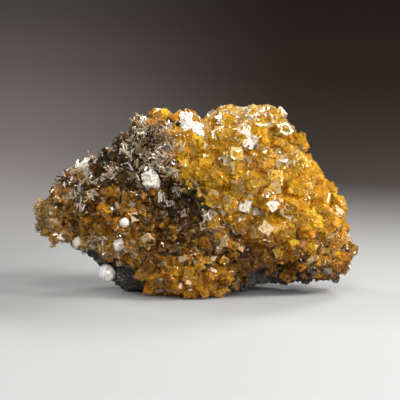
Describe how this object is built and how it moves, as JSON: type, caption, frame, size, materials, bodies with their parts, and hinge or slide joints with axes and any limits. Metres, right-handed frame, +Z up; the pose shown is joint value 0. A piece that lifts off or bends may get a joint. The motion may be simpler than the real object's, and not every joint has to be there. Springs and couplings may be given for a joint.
{
  "type": "fluorite specimen",
  "caption": "Mineral specimen: a crust of honey-yellow fluorite crystals on a dark rock, with white calcite on it, standing on its broken underside as a display piece.",
  "frame": {"origin": "on the floor, under the middle of the specimen's bounding box", "axes": "+X to the viewer's right along the specimen's length, +Y from the crystal face to the rock's back, +Z up"},
  "size_m": [0.1378, 0.0584, 0.0782],
  "materials": {
    "rock": "rough dark broken rock with fine sparkling grains",
    "fluorite": "clear honey-yellow crystal with glassy flat faces, brown and smoky to the left",
    "calcite": "white sugary crystal, slightly glossy",
    "pearl": "smooth pearly grey-white with a soft gloss"
  },
  "bodies": {
    "root": {"rock": "rock", "fluorite_crust": "fluorite", "calcite_ledge": "calcite", "calcite_peak": "calcite", "calcite_cluster": "calcite", "calcite_square": "calcite", "calcite_ball": "calcite", "calcite_knob": "calcite", "calcite_bead": "calcite", "pearly_bead": "pearl"}
  },
  "joints": []
}
